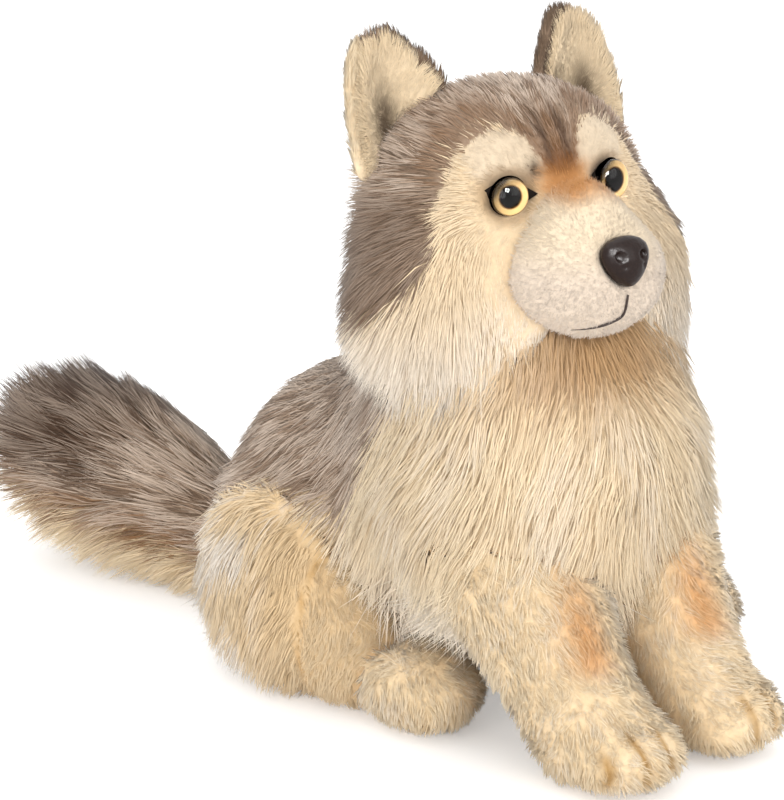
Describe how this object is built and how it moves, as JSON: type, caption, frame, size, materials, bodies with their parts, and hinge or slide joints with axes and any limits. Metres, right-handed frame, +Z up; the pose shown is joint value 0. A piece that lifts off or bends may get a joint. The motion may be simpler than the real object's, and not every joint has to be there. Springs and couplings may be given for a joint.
{
  "type": "plush wolf",
  "caption": "Seated long-pile plush wolf with a thick tail on the floor, cupped ears, domed eyes and a moulded nose.",
  "frame": {"origin": "on the floor, at the middle of the wolf's footprint", "axes": "+Z up; the wolf faces -Y and its tail lies towards +Y; +X is the wolf's left"},
  "size_m": [0.1694, 0.3354, 0.227],
  "materials": {
    "grey_pile": "long grey-brown faux-fur pile with dark and pale hairs",
    "cream_pile": "long cream faux-fur pile",
    "tan_pile": "short curly tan faux-fur pile",
    "cream_velour": "short dense cream velour",
    "eye_lens": "clear glossy dome",
    "eye_iris": "painted gold ring round a black pupil",
    "eye_felt": "black felt",
    "nose": "dark brown moulded nose, leather grain, half gloss",
    "washer": "plain white lock washer",
    "thread": "dark brown stitched thread"
  },
  "bodies": {
    "root": {"torso": "grey_pile", "head": "cream_pile", "muzzle": "cream_velour", "ear_back_left": "grey_pile", "ear_back_right": "grey_pile", "ear_lining_left": "cream_velour", "ear_lining_right": "cream_velour", "foreleg_left": "tan_pile", "foreleg_right": "tan_pile", "haunch_left": "tan_pile", "haunch_right": "tan_pile", "hind_foot_left": "tan_pile", "hind_foot_right": "tan_pile", "tail": "grey_pile", "eye_lens_left": "eye_lens", "eye_lens_right": "eye_lens", "eye_iris_left": "eye_iris", "eye_iris_right": "eye_iris", "eye_patch_left": "eye_felt", "eye_patch_right": "eye_felt", "eye_washer_left": "washer", "eye_washer_right": "washer", "nose": "nose", "nose_washer": "washer", "mouth_stitch": "thread"}
  },
  "joints": []
}
